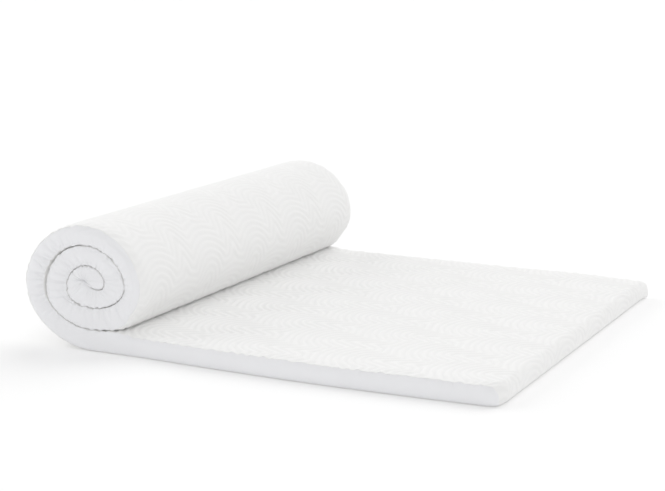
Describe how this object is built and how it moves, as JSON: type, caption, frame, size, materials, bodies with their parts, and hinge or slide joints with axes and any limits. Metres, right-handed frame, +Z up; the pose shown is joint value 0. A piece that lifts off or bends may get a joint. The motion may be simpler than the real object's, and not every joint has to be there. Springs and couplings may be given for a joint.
{
  "type": "mattress topper",
  "caption": "Thin single-bed mattress topper, rolled up from its head end over its flat foot part, in a patterned knit cover with plain side borders.",
  "frame": {"origin": "centre of the bounding box, on the floor plane that the underside rests on", "axes": "+X along the topper from the roll to the flat foot end, +Y across its width, +Z up"},
  "size_m": [0.9404, 0.9, 0.2369],
  "materials": {
    "patterned_knit": "matte",
    "plain_knit": "matte"
  },
  "bodies": {
    "root": {"cover_wrap": "patterned_knit", "side_border_front": "plain_knit", "side_border_back": "plain_knit"}
  },
  "joints": []
}
